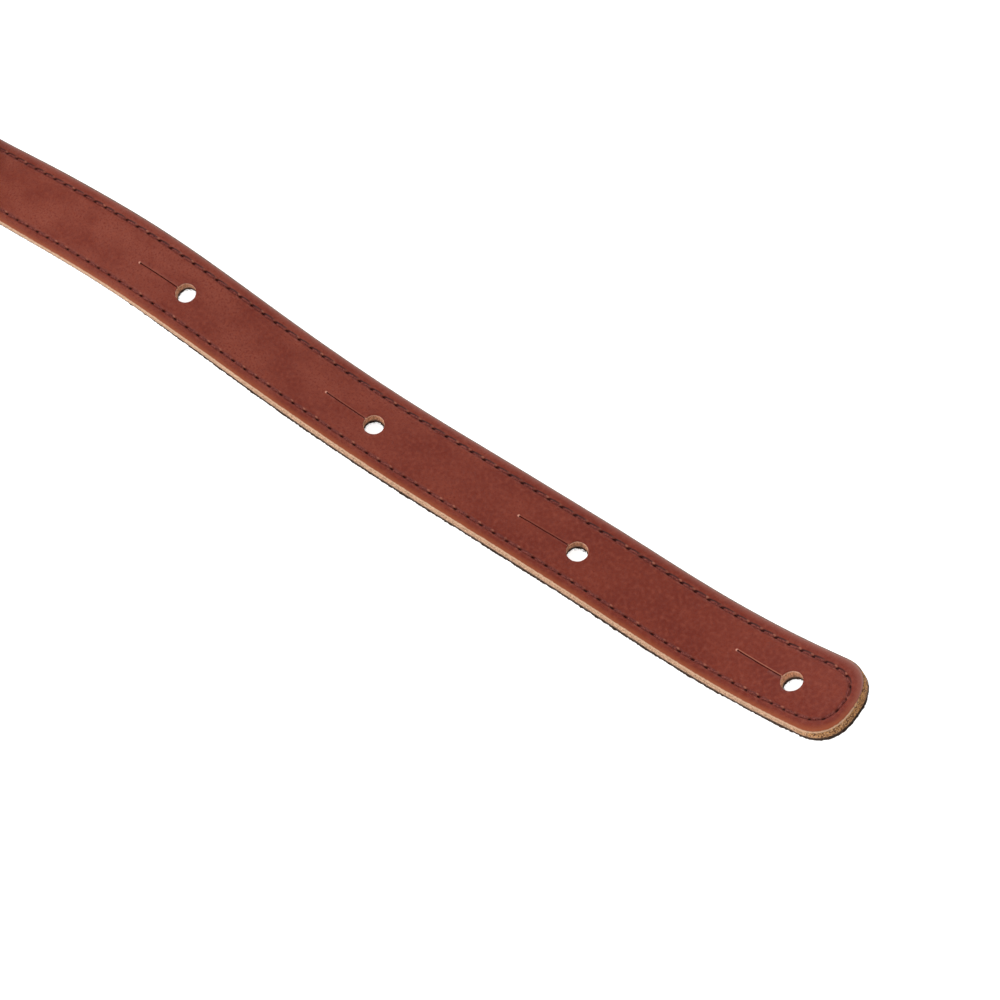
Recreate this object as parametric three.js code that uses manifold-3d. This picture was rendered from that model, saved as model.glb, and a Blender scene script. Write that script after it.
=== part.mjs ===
// A one-piece stitched leather guitar strap, laid down tail end first, with the rest of its length rolled up.
// Millimetres, +Z up. The grain side faces up along the tail and inward in the roll.
// A point of the strap is given flat, by its distance from the tail tip, its place across the strap and its
// height over the grain side, and is then placed on the curve that the strap lies along.
import * as THREE from 'three';
import { mergeVertices } from 'three/addons/utils/BufferGeometryUtils.js';
import Module from 'manifold-3d';

const wasm = await Module();
wasm.setup();

// Outline
const LENGTH = 1320;
const END_WIDTH = 26;
const SHOULDER_WIDTH = 64;
const WIDENING = { start: 430, length: 120, turn: SHOULDER_WIDTH - END_WIDTH };
const NARROWING = { start: 1110, length: 120, turn: END_WIDTH - SHOULDER_WIDTH };
const TIP_LENGTH = 11.5; // how far back from each end the rounding reaches
const TIP_SQUARENESS = 2.55; // exponent of the rounded end: 2 is an ellipse, more is squarer
const TIP_STEPS = 7;

// Layers, from the grain side down
const LEATHER = 3.7;
const GLUE_LINE = 0.1;
const BACKING = 1;
const THICKNESS = LEATHER + GLUE_LINE + BACKING;
const EDGE_BEVEL = 0.7;

// Button holes: a round hole with a knife slit that ends in a small punched dot
const HOLE_DIAMETER = 7;
const HOLE_PITCH = 76.2;
const END_TO_HOLE = 21;
const HOLE_DRIFT = -0.4; // the holes sit a little to one side of the centre line
const SLIT_LENGTH = 20;
const SLIT_WIDTH = 0.4;
const TAIL_SLIT_TILTS = [2.8, -1.2, 0.4, -0.6]; // degrees off the strap's line, one for each tail hole
const PUNCH_DIAMETER = 1;
const PUNCH_DEPTH = 12;

// Stitching, sunk into a channel on each face
const STITCH_INSET = 3.6;
const THREAD_WIDTH = 0.9;
const THREAD_DEPTH = 0.5;
const THREAD_CLEARANCE = 0.1;
const CHANNEL_WIDTH = 1.3;
const GRAIN_CHANNEL = 0.4;
const BACKING_CHANNEL = 0.7;

// How the strap lies: angles in degrees at the tail tip, then smooth bends at distances from it
const TIP_SLOPE = 25.5;
const SLOPE_BENDS = [
  { start: 0, length: 84, turn: -25.5 },
  { start: 132, length: 94, turn: -7.7 },
  { start: 226, length: 82, turn: 15.4 },
  { start: 308, length: 94, turn: -7.7 },
];
const TIP_HEADING = -2.2;
const HEADING_BENDS = [
  { start: 0, length: 134, turn: 4.1 },
  { start: 134, length: 150, turn: -1.9 },
];
const TIP_BANK = 3.9;
const BANK_BENDS = [
  { start: 0, length: 74, turn: -3.9 },
  { start: 174, length: 134, turn: 13.4 },
  { start: 308, length: 50, turn: -13.4 },
];

// The roll: a spiral with an even pitch, measured on the grain side
const ROLL_START = 430;
const ROLL_INNER_RADIUS = 31.1; // brings the front button hole to the side of the roll
const ROLL_PITCH = 6.6;
const ROLL_STEP = THREE.MathUtils.degToRad(18);
const TAIL_STEP = 12;
const WALK_STEP = 0.5;

// ---------- The curve that the strap lies along ----------

const eased = (t) => (1 - Math.cos(Math.PI * THREE.MathUtils.clamp(t, 0, 1))) / 2;

function bentBy(start, bends, distance) {
  return bends.reduce((value, bend) => value + bend.turn * eased((distance - bend.start) / bend.length), start);
}

const radiusLoss = ROLL_PITCH / (2 * Math.PI); // for each radian turned
const rollOuterRadius = Math.sqrt(ROLL_INNER_RADIUS ** 2 + 2 * radiusLoss * (LENGTH - ROLL_START));
const rollTurn = (rollOuterRadius - ROLL_INNER_RADIUS) / radiusLoss;

function rolledAngle(distance) {
  const wound = THREE.MathUtils.clamp(distance, ROLL_START, LENGTH) - ROLL_START;
  return (rollOuterRadius - Math.sqrt(rollOuterRadius ** 2 - 2 * radiusLoss * wound)) / radiusLoss;
}

const rolledDistance = (angle) => ROLL_START + rollOuterRadius * angle - radiusLoss * angle ** 2 / 2;

function directions(distance) {
  const slope = THREE.MathUtils.degToRad(bentBy(TIP_SLOPE, SLOPE_BENDS, distance)) - rolledAngle(distance);
  const heading = THREE.MathUtils.degToRad(bentBy(TIP_HEADING, HEADING_BENDS, distance));
  const bank = THREE.MathUtils.degToRad(bentBy(TIP_BANK, BANK_BENDS, distance));
  const along = new THREE.Vector3(
    Math.cos(slope) * Math.cos(heading), Math.cos(slope) * Math.sin(heading), Math.sin(slope));
  const across = new THREE.Vector3(-Math.sin(heading), Math.cos(heading), 0).applyAxisAngle(along, bank);
  return { along, across, up: new THREE.Vector3().crossVectors(along, across) };
}

function walkedPoints() {
  const point = new THREE.Vector3();
  const points = [point.clone()];
  for (let distance = 0; distance < LENGTH; distance += WALK_STEP) {
    point.addScaledVector(directions(distance + WALK_STEP / 2).along, -WALK_STEP);
    points.push(point.clone());
  }
  return points;
}

const walked = walkedPoints();

function place(distance, across, height) {
  const step = Math.min(Math.floor(distance / WALK_STEP), walked.length - 2);
  const directed = directions(distance);
  return walked[step].clone().lerp(walked[step + 1], distance / WALK_STEP - step)
    .addScaledVector(directed.across, across)
    .addScaledVector(directed.up, height);
}

// ---------- The flat outline ----------

// Half the strap's edge, from the tail tip to the front tip, on the side where across is positive
function halfOutline() {
  const power = (value) => Math.max(0, value) ** (2 / TIP_SQUARENESS);
  const tip = [];
  for (let i = 0; i < TIP_STEPS; i++) {
    const turn = Math.PI / 2 * i / TIP_STEPS;
    tip.push([TIP_LENGTH * (1 - power(Math.cos(turn))), END_WIDTH / 2 * power(Math.sin(turn))]);
  }
  const distances = [];
  for (let d = TIP_LENGTH; d < ROLL_START - TAIL_STEP / 2; d += TAIL_STEP) distances.push(d);
  const last = rolledAngle(LENGTH - TIP_LENGTH);
  const steps = Math.ceil(last / ROLL_STEP);
  for (let i = 0; i <= steps; i++) distances.push(rolledDistance(last * i / steps));
  const edge = distances.map((d) => [d, bentBy(END_WIDTH, [WIDENING, NARROWING], d) / 2]);
  const front = tip.map(([d, across]) => [LENGTH - d, across]).reverse();
  return [...tip, ...edge, ...front].map((point) => new THREE.Vector2(...point));
}

const half = halfOutline();
const mirrored = half.slice(1, -1).reverse().map((point) => new THREE.Vector2(point.x, -point.y));
const outline = [...half, ...mirrored];

// The outline moved inward, as a closed loop placed at a height over the grain side
function loop(inset, height) {
  const count = outline.length;
  return outline.map((point, i) => {
    const before = point.clone().sub(outline[(i + count - 1) % count]).normalize();
    const after = outline[(i + 1) % count].clone().sub(point).normalize();
    const inward = new THREE.Vector2(before.y + after.y, -before.x - after.x);
    const moved = point.clone().addScaledVector(inward, 2 * inset / inward.lengthSq());
    return place(moved.x, moved.y, height);
  });
}

// ---------- Solids from loops ----------

// Joins each loop to the next. The first and last loop are filled across the strap, or joined for a ring
function solidFrom(loops, ring) {
  const count = outline.length;
  const rungs = half.length - 1;
  const triangles = [];
  const quad = (a, b, c, d) => triangles.push([a, b, c], [a, c, d]);
  const bands = ring ? loops.length : loops.length - 1;
  for (let band = 0; band < bands; band++) {
    const lower = band * count;
    const upper = ((band + 1) % loops.length) * count;
    for (let i = 0; i < count; i++) {
      const next = (i + 1) % count;
      quad(lower + i, lower + next, upper + next, upper + i);
    }
  }
  const fill = (base, facing) => {
    for (let i = 0; i < rungs; i++) {
      const [near, far] = [i, i + 1].map((k) => base + (count - k) % count);
      const rung = i === 0 ? [[base, base + 1, far]]
        : i === rungs - 1 ? [[base + i, base + rungs, near]]
          : [[base + i, base + i + 1, far], [base + i, far, near]];
      for (const triangle of rung) triangles.push(facing < 0 ? triangle.reverse() : triangle);
    }
  };
  if (!ring) {
    fill(0, -1);
    fill((loops.length - 1) * count, 1);
  }
  return new wasm.Manifold(new wasm.Mesh({
    numProp: 3,
    vertProperties: new Float32Array(loops.flat().flatMap((point) => point.toArray())),
    triVerts: new Uint32Array(triangles.flat()),
  }));
}

function leather() {
  const outer = STITCH_INSET - CHANNEL_WIDTH / 2;
  const inner = STITCH_INSET + CHANNEL_WIDTH / 2;
  return solidFrom([
    loop(0, -LEATHER),
    loop(0, -EDGE_BEVEL),
    loop(EDGE_BEVEL, 0),
    loop(outer, 0),
    loop(outer, -GRAIN_CHANNEL),
    loop(inner, -GRAIN_CHANNEL),
    loop(inner, 0),
  ], false);
}

function backing() {
  const outer = STITCH_INSET - CHANNEL_WIDTH / 2;
  const inner = STITCH_INSET + CHANNEL_WIDTH / 2;
  return solidFrom([
    loop(inner, -THICKNESS),
    loop(inner, -THICKNESS + BACKING_CHANNEL),
    loop(outer, -THICKNESS + BACKING_CHANNEL),
    loop(outer, -THICKNESS),
    loop(0, -THICKNESS),
    loop(0, -THICKNESS + BACKING),
  ], false);
}

function thread(low) {
  const outer = STITCH_INSET - THREAD_WIDTH / 2;
  const inner = STITCH_INSET + THREAD_WIDTH / 2;
  return solidFrom([
    loop(outer, low),
    loop(outer, low + THREAD_DEPTH),
    loop(inner, low + THREAD_DEPTH),
    loop(inner, low),
  ], true);
}

// ---------- Button holes ----------

function solid(geometry) {
  const plain = geometry.clone();
  plain.deleteAttribute('normal');
  plain.deleteAttribute('uv');
  const merged = mergeVertices(plain);
  return new wasm.Manifold(new wasm.Mesh({
    numProp: 3,
    vertProperties: new Float32Array(merged.attributes.position.array),
    triVerts: new Uint32Array(merged.index.array),
  }));
}

// A cutter square to the strap's surface at a distance, with its slit towards larger or smaller distances
function keyhole(distance, slitWay, tilt) {
  const { along, across, up } = directions(distance);
  const frame = new THREE.Matrix4().makeBasis(along, across, up)
    .setPosition(place(distance, HOLE_DRIFT, -THICKNESS / 2));
  const peg = (diameter, sides) => {
    const radius = diameter / 2 / Math.cos(Math.PI / sides); // the flats, not the corners, keep the diameter
    return new THREE.CylinderGeometry(radius, radius, PUNCH_DEPTH, sides).rotateX(Math.PI / 2);
  };
  const reach = -slitWay * SLIT_LENGTH;
  const round = peg(HOLE_DIAMETER, 16);
  const turn = THREE.MathUtils.degToRad(-tilt);
  const slit = new THREE.BoxGeometry(SLIT_LENGTH, SLIT_WIDTH, PUNCH_DEPTH).translate(reach / 2, 0, 0).rotateZ(turn);
  const dot = peg(PUNCH_DIAMETER, 8).translate(reach, 0, 0).rotateZ(turn);
  const [first, ...others] = [round, slit, dot].map((geometry) => solid(geometry.applyMatrix4(frame)));
  return others.reduce((whole, other) => whole.add(other), first);
}

function cutButtonHoles(layer) {
  const tail = TAIL_SLIT_TILTS.map((tilt, i) => keyhole(END_TO_HOLE + i * HOLE_PITCH, 1, tilt));
  const front = keyhole(LENGTH - END_TO_HOLE, -1, 0);
  return [...tail, front].reduce((whole, cutter) => whole.subtract(cutter), layer);
}

// ---------- The object ----------

function piece(name, shape, color, roughness) {
  const { vertProperties, triVerts } = shape.getMesh();
  const geometry = new THREE.BufferGeometry();
  geometry.setAttribute('position', new THREE.BufferAttribute(vertProperties, 3));
  geometry.setIndex(new THREE.BufferAttribute(triVerts, 1));
  geometry.computeVertexNormals();
  const mesh = new THREE.Mesh(geometry, new THREE.MeshStandardMaterial({ color, roughness, metalness: 0 }));
  mesh.name = name;
  return mesh;
}

const strap = new THREE.Group();
strap.add(
  piece('leather_strap', cutButtonHoles(leather()), 0x82402f, 0.5),
  piece('suede_backing', cutButtonHoles(backing()), 0x2b221d, 0.95),
  piece('needle_thread', thread(THREAD_CLEARANCE - GRAIN_CHANNEL), 0x4a2a2c, 0.7),
  piece('bobbin_thread', thread(THREAD_CLEARANCE - THICKNESS), 0x4a2a2c, 0.7),
);

// The origin is under the middle of the strap's box
const box = new THREE.Box3().setFromObject(strap);
const middle = box.getCenter(new THREE.Vector3());
strap.position.set(-middle.x, -middle.y, -box.min.z);

export default strap;
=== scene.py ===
"""A stitched leather guitar strap: a grain leather layer over a suede backing, joined by a lockstitch.

Each piece is made flat, in millimetres. A flat point has its distance from the tail tip, its place across
the strap and its height over the grain side. `lay` then bends the piece along the CAD strap, in metres.
"""
import math
import bpy
import numpy as np
from mathutils import Matrix, Vector, kdtree, noise


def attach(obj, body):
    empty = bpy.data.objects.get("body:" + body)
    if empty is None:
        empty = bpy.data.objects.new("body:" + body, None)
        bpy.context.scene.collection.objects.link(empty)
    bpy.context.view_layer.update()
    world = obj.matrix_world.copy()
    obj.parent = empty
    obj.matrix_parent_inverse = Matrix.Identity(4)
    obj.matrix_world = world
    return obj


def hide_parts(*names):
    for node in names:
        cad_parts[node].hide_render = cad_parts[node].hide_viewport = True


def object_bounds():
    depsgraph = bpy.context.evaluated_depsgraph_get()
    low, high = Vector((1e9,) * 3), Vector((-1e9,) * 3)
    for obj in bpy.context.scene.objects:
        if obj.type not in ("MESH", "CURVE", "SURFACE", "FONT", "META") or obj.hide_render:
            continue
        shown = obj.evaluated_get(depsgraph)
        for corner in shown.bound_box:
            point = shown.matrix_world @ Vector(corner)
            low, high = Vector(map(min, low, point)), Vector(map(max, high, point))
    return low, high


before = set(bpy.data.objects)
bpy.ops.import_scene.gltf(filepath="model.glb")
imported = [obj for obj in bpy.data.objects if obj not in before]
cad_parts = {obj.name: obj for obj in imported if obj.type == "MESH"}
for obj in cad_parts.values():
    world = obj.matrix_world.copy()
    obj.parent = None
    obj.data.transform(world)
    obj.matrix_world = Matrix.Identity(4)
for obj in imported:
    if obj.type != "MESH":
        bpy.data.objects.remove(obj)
cad_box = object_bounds()

MM = 0.001

# The strap's flat sizes, as in the CAD model
LENGTH = 1320.0
END_WIDTH = 26.0
SHOULDER_WIDTH = 64.0
WAIST = 0.6  # the tail narrows by this little before it widens to the shoulder
# Where the width changes: (start, length, change)
WIDTH_BENDS = [(120, 130, -WAIST), (430, 120, SHOULDER_WIDTH - END_WIDTH + WAIST),
               (1110, 120, END_WIDTH - SHOULDER_WIDTH)]
TIP_LENGTH = 11.5
TIP_SQUARENESS = 2.55
TIP_SKEW = 0.025  # the tail is cut a little out of square
TIP_SKEW_REACH = 14.0
TIP_STRETCH = 0.7  # the middle of the tail's end stands out by this little
TIP_DRIFT = 0.2  # the last stretch of the tail lies this little nearer the camera
TIP_NARROWING = 0.015  # and is narrower by this share
TIP_DRIFT_REACH = 32.0
TIP_THINNING = 0.09  # the tail is thinner by this share at its end
TIP_THINNING_REACH = 60.0
LEATHER = 3.7
GLUE_LINE = 0.1
THICKNESS = 4.8
HOLE_RADIUS = 3.28
HOLE_TAPER = 0.15  # how much wider the punched holes come out below
# Each button hole: (distance, across, way its slit runs, the slit's tilt in degrees, its shift across,
# its length, how bright the painted highlight on its lip is)
BUTTON_HOLES = [
    (20.6, -0.8, 1, 2.8, -0.3, 19.5, 0.7),
    (97.4, -0.45, 1, -1.2, 0.35, 21.0, 0.2),
    (173.8, -0.4, 1, 0.4, 0.1, 18.5, 0.25),
    (249.6, -0.3, 1, -0.6, 0.0, 19.1, 0.2),
    (1299.0, -0.4, -1, 0.0, 0.0, 20.0, 0.2),
]
STITCH_INSET = 3.6

# How the strap lies, as in the CAD model: degrees at the tail tip, then (start, length, turn) bends
TIP_SLOPE = 25.5
SLOPE_BENDS = [(0, 84, -25.5), (132, 94, -7.7), (226, 82, 15.4), (308, 94, -7.7)]
TIP_HEADING = -2.2
HEADING_BENDS = [(0, 134, 4.1), (134, 150, -1.9)]
TIP_BANK = 3.9
BANK_BENDS = [(0, 74, -3.9), (174, 134, 13.4), (308, 50, -13.4)]
ROLL_START = 430.0
ROLL_INNER_RADIUS = 31.1
ROLL_PITCH = 6.6
WALK_STEP = 0.5

# Finer sizes of the leather
ROUNDED_WIDTH = 2.4  # the grain side rounds down over this margin
ROUNDED_DEPTH = 0.65
CUT_LEVEL = -0.33  # the dyed grain ends and the cut edge begins at this height
END_SPLAY = 0.2  # how far the cut at each end leans out towards the bottom
END_SPLAY_REACH = 9.0
EDGE_FRAY = 0.09
# The cut edge from the glue line up: (height, inset)
EDGE_BULGES = [(-LEATHER, 0.0), (-2.9, -0.04), (-2.0, -0.05), (-1.2, -0.02)]
HOLE_FLARE = 0.12
HOLE_FRAY = 0.05
HOLE_SIDES = 64
SLIT_OPENING = 0.38
SLIT_DEPTH = 1.0  # below this the slit's faces nearly touch
SLIT_GAP = 0.1  # and are this far apart
SLIT_START = 2.0  # from the middle of the round hole
SLIT_SWAY = 0.07
SLIT_LIP = 0.34  # how far beside the slit its painted lip highlight is
SLIT_DOT = 0.35  # how far past the slit the middle of its pale dot is
PUNCH_RADIUS = 0.24
PUNCH_FLARE = 0.04
PUNCH_SIDES = 16
GROOVE_DEPTH = 0.34
GROOVE_WIDTH = 0.52
NEEDLE_DEPTH = 0.7
NEEDLE_LENGTH = 0.65
NEEDLE_WIDTH = 0.35
NEEDLE_SETBACK = 0.3
BURR_HEIGHT = 0.14  # each needle pushes up a little lip beside its hole
BURR_OFFSET = (0.42, 0.42)
BURR_RADIUS = 0.42
SEAM_BAND = 6.0  # nothing further in than this belongs to the seam
CORNER_CUT = 0.7  # the seam turns round the tail on rounder corners than the edge does
CORNER_PLACE = 9.5
CORNER_REACH = 5.0
FAR_ROW_SHIFT = 0.38  # near the tail the seam runs further in on the side away from the camera
FAR_ROW_START = 6.0
FAR_ROW_REACH = 110.0

# Finer sizes of the suede backing
SUEDE_FLARE = 0.02
SUEDE_FRAY = 0.3  # round the holes
SUEDE_TRIM = [(230, 60, 0.34)]  # past the tail it is trimmed further in: (start, length, change)
SUEDE_GROOVE = 0.30
SUEDE_GROOVE_WIDTH = 0.7
SUEDE_PIT = 0.25
SUEDE_PIT_RADIUS = 0.5
SUEDE_NAP = 0.05

# Stitches: the pitch along the strap, shorter where the seam turns round the tail
STITCH_PITCH = 4.81
TURN_SHORTENING = 3.6  # in all, on each side
TURN_REACH = 5.2  # stitches
STATIONS_PER_STITCH = 12
STITCH_PHASE = 3.5 / STATIONS_PER_STITCH
COARSE_STATIONS = (0, 3, 5, 8)  # those kept of each twelve past the fine stretch
FINE_LENGTH = 352.0
LAST_GAP = 0.3  # the last station before the front tip is at least this far from it
THREAD_RADIUS = 0.38
PLIES = 3
PLY_RADIUS = THREAD_RADIUS * 0.53
PLY_SIDES = 5
PLY_TWIST = 1.9  # turns for each stitch

# How closely the edge is followed
EDGE_STEP = 0.25
CORNER_POINTS = 400  # round each corner
END_POINTS = 700  # searched round each end
END_REACH = 35.0  # by every point that is this near the end

# Every cutter reaches between these heights
CUT_LOW = -7.0
CUT_HIGH = 2.0

# Loose suede hairs
FIBRE_SPACING = 0.33
FIBRE_SHORTEST = 0.3
FIBRE_SPREAD = 1.0  # how much longer than the shortest the longest one is
FIBRE_TIP_SPREAD = 1.5
FIBRE_TIP_REACH = 12
FIBRE_RADII = (0.05, 0.04, 0.015)
HOLE_FIBRES = 110


# ---------- The curve that the strap lies along ----------

def eased(share):
    return (1 - np.cos(np.pi * np.clip(share, 0, 1))) / 2


def bent_by(start, bends, distance):
    """A value that begins at start and turns by each bend's amount, eased over the bend's length."""
    return start + sum(turn * eased((distance - first) / length) for first, length, turn in bends)


RADIUS_LOSS = ROLL_PITCH / (2 * math.pi)  # for each radian turned
ROLL_OUTER_RADIUS = math.sqrt(ROLL_INNER_RADIUS ** 2 + 2 * RADIUS_LOSS * (LENGTH - ROLL_START))


def rolled_angle(distance):
    wound = np.clip(distance, ROLL_START, LENGTH) - ROLL_START
    return (ROLL_OUTER_RADIUS - np.sqrt(ROLL_OUTER_RADIUS ** 2 - 2 * RADIUS_LOSS * wound)) / RADIUS_LOSS


def directions(distance):
    """Unit vectors along the strap, across it and up from its grain side."""
    slope = np.radians(bent_by(TIP_SLOPE, SLOPE_BENDS, distance)) - rolled_angle(distance)
    heading = np.radians(bent_by(TIP_HEADING, HEADING_BENDS, distance))
    bank = np.radians(bent_by(TIP_BANK, BANK_BENDS, distance))[:, None]
    level = np.zeros_like(slope)
    along = np.stack([np.cos(slope) * np.cos(heading), np.cos(slope) * np.sin(heading), np.sin(slope)], 1)
    sideways = np.stack([-np.sin(heading), np.cos(heading), level], 1)
    across = sideways * np.cos(bank) + np.cross(along, sideways) * np.sin(bank)
    return along, across, np.cross(along, across)


def walked_points():
    steps = np.arange(0, LENGTH + 2 * WALK_STEP, WALK_STEP)
    moves = -WALK_STEP * directions(steps + WALK_STEP / 2)[0]
    return steps, np.vstack([np.zeros(3), np.cumsum(moves, axis=0)[:-1]])


WALK_DISTANCES, WALK_POINTS = walked_points()


def bent_points(flat):
    """Flat points laid along the curve, in millimetres from the grain side of the tail tip."""
    skewed = TIP_SKEW * flat[:, 1] - TIP_STRETCH * (1 - (2 * flat[:, 1] / END_WIDTH) ** 2)
    distance = flat[:, 0] + skewed * np.exp(-(flat[:, 0] / TIP_SKEW_REACH) ** 2)
    _, across, up = directions(distance)
    spine = np.stack([np.interp(distance, WALK_DISTANCES, WALK_POINTS[:, k]) for k in range(3)], 1)
    spine += directions(np.zeros(1))[0] * np.maximum(-distance, 0)[:, None]
    near_tip = np.exp(-(distance / TIP_DRIFT_REACH) ** 2)
    offset = flat[:, 1] * (1 - TIP_NARROWING * near_tip) - TIP_DRIFT * near_tip
    height = flat[:, 2] * (1 - TIP_THINNING * np.exp(-(distance / TIP_THINNING_REACH) ** 2))
    return spine + across * offset[:, None] + up * height[:, None]


# ---------- The flat outline and its seam ----------

def half_outline():
    """Closely spaced points of the edge on the side where across is positive, and their inward normals."""
    turn = np.linspace(0, math.pi / 2, CORNER_POINTS)
    reach = TIP_LENGTH * (1 - np.abs(np.cos(turn)) ** (2 / TIP_SQUARENESS))
    side = END_WIDTH / 2 * np.abs(np.sin(turn)) ** (2 / TIP_SQUARENESS)
    body = np.arange(TIP_LENGTH + EDGE_STEP, LENGTH - TIP_LENGTH, EDGE_STEP)
    body_side = bent_by(END_WIDTH, WIDTH_BENDS, body) / 2
    distance = np.concatenate([reach, body, LENGTH - reach[::-1]])
    across = np.concatenate([side, body_side, side[::-1]])
    points = np.stack([distance, across], 1)
    heading = np.gradient(points, axis=0)
    heading[0] = (0, 1)
    heading[-1] = (0, -1)
    heading /= np.linalg.norm(heading, axis=1)[:, None]
    return points, np.stack([heading[:, 1], -heading[:, 0]], 1)


EDGE_POINTS, EDGE_NORMALS = half_outline()
SEAM_LINE = EDGE_POINTS + STITCH_INSET * EDGE_NORMALS
SEAM_LENGTHS = np.concatenate([[0], np.cumsum(np.linalg.norm(np.diff(SEAM_LINE, axis=0), axis=1))])


def seam_length_at(stitches):
    """How far along the seam from the middle of the tail a number of stitches reaches."""
    count = np.abs(stitches)
    return count * STITCH_PITCH - TURN_SHORTENING * (1 - np.exp(-(count / TURN_REACH) ** 2))


def stitches_at(seam_length):
    """The reverse of seam_length_at."""
    counts = np.arange(0, LENGTH / STITCH_PITCH + 10, 0.05)
    return np.interp(seam_length, seam_length_at(counts), counts)


def edge_at(seam_length):
    """Edge point and inward normal opposite a place on the seam, on the positive side."""
    point = np.stack([np.interp(seam_length, SEAM_LENGTHS, EDGE_POINTS[:, k]) for k in range(2)], 1)
    normal = np.stack([np.interp(seam_length, SEAM_LENGTHS, EDGE_NORMALS[:, k]) for k in range(2)], 1)
    return point, normal / np.linalg.norm(normal, axis=1)[:, None]


def seam_shift(seam_length, across):
    """How much further in than usual the seam runs, round the corners and in the tail's far row."""
    from_end = np.minimum(seam_length, SEAM_LENGTHS[-1] - seam_length)
    corner = CORNER_CUT * np.exp(-((from_end - CORNER_PLACE) / CORNER_REACH) ** 2)
    far = FAR_ROW_SHIFT * np.exp(-(seam_length / FAR_ROW_REACH) ** 2)
    far = far * (1 - np.exp(-(seam_length / FAR_ROW_START) ** 2))
    return corner + far * (across > 0)


def stations():
    """Places along half the seam, from the tail tip to the front tip, where every mesh has its points."""
    lengths = []
    count = int(SEAM_LENGTHS[-1] / STITCH_PITCH * STATIONS_PER_STITCH) + 2 * STATIONS_PER_STITCH
    for i in range(count):
        length = float(seam_length_at((i + 0.5) / STATIONS_PER_STITCH))
        if length > SEAM_LENGTHS[-1] - LAST_GAP:
            break
        if length < FINE_LENGTH or i % STATIONS_PER_STITCH in COARSE_STATIONS:
            lengths.append(length)
    return np.array([0.0, *lengths, SEAM_LENGTHS[-1]])


STATIONS = stations()
STATION_POINTS, STATION_NORMALS = edge_at(STATIONS)
HALF = len(STATIONS)
AROUND = 2 * HALF - 2
MIRROR = np.array([1.0, -1.0])
SHIFTS = np.concatenate([seam_shift(STATIONS, 1), seam_shift(STATIONS, -1)[-2:0:-1]])


def flat_loop(inset, height):
    """A closed loop of flat points round the strap. inset may be one number or one for each point."""
    point = np.vstack([STATION_POINTS, STATION_POINTS[-2:0:-1] * MIRROR])
    normal = np.vstack([STATION_NORMALS, STATION_NORMALS[-2:0:-1] * MIRROR])
    moved = point + normal * np.broadcast_to(inset, AROUND)[:, None]
    return np.column_stack([moved, np.broadcast_to(height, AROUND)])


def needle_holes():
    """Flat (distance, across) of every needle hole, in order along the seam."""
    last = SEAM_LENGTHS[-1]
    count = int(last / STITCH_PITCH) + 4
    holes = []
    for number in range(-count, count):
        stitches = number + STITCH_PHASE
        length = float(seam_length_at(stitches))
        if length < last - 0.4 * STITCH_PITCH:
            point, normal = edge_at(np.array([length]))
            side = 1 if stitches > 0 else -1
            inset = STITCH_INSET + seam_shift(length, side)
            holes.append((point + inset * normal)[0] * (1, side))
    return np.array(holes)


NEEDLE_HOLES = needle_holes()


# ---------- Meshes ----------

def spread(points, scale, seed):
    """Smooth noise between about -1 and 1 for each point."""
    shift = Vector((seed * 17.3, seed * 5.1, seed * 11.7))
    dimension, lacunarity, octaves = 1.0, 2.0, 3
    places = [Vector(point) * scale + shift for point in points]
    return np.array([noise.fractal(place, dimension, lacunarity, octaves) for place in places])


def waved(points, scale, seed):
    """The same noise by place on the strap alone, whatever the height."""
    return spread(points * (1, 1, 0), scale, seed)


def mesh_object(name, vertices, faces):
    mesh = bpy.data.meshes.new(name)
    mesh.from_pydata(vertices.tolist(), [], faces)
    mesh.validate()
    mesh.update()
    made = bpy.data.objects.new(name, mesh)
    bpy.context.scene.collection.objects.link(made)
    return made


def lofted(name, loops, first_lines, last_lines):
    """A closed solid from loops round the strap, the first and last filled with lines across the strap."""
    vertices = [np.vstack(loops)]
    faces = []
    index = np.arange(AROUND)
    after = (index + 1) % AROUND
    for band in range(len(loops) - 1):
        low = band * AROUND
        high = low + AROUND
        faces += np.stack([low + index, low + after, high + after, high + index], 1).tolist()
    used = len(loops) * AROUND
    for loop, base, lines, flip in (
            (loops[0], 0, first_lines, True), (loops[-1], (len(loops) - 1) * AROUND, last_lines, False)):
        near = loop[1:HALF - 1]
        far = loop[:HALF - 1:-1]
        rows = [base + np.arange(1, HALF - 1)]
        for k in range(1, lines + 1):
            share = k / (lines + 1)
            vertices.append(near * (1 - share) + far * share)
            rows.append(used + np.arange(HALF - 2))
            used += HALF - 2
        rows.append(base + AROUND - np.arange(1, HALF - 1))
        filling = []
        for a, b in zip(rows, rows[1:]):
            filling += np.stack([a[:-1], a[1:], b[1:], b[:-1]], 1).tolist()
            filling.append([base, a[0], b[0]])
            filling.append([base + HALF - 1, b[-1], a[-1]])
        faces += [face[::-1] for face in filling] if flip else filling
    return mesh_object(name, np.vstack(vertices), faces)


def vertices_of(made):
    flat = np.empty(len(made.data.vertices) * 3)
    made.data.vertices.foreach_get("co", flat)
    return flat.reshape(-1, 3)


def set_vertices(made, points):
    made.data.vertices.foreach_set("co", points.astype(np.float32).ravel())
    made.data.update()


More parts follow.
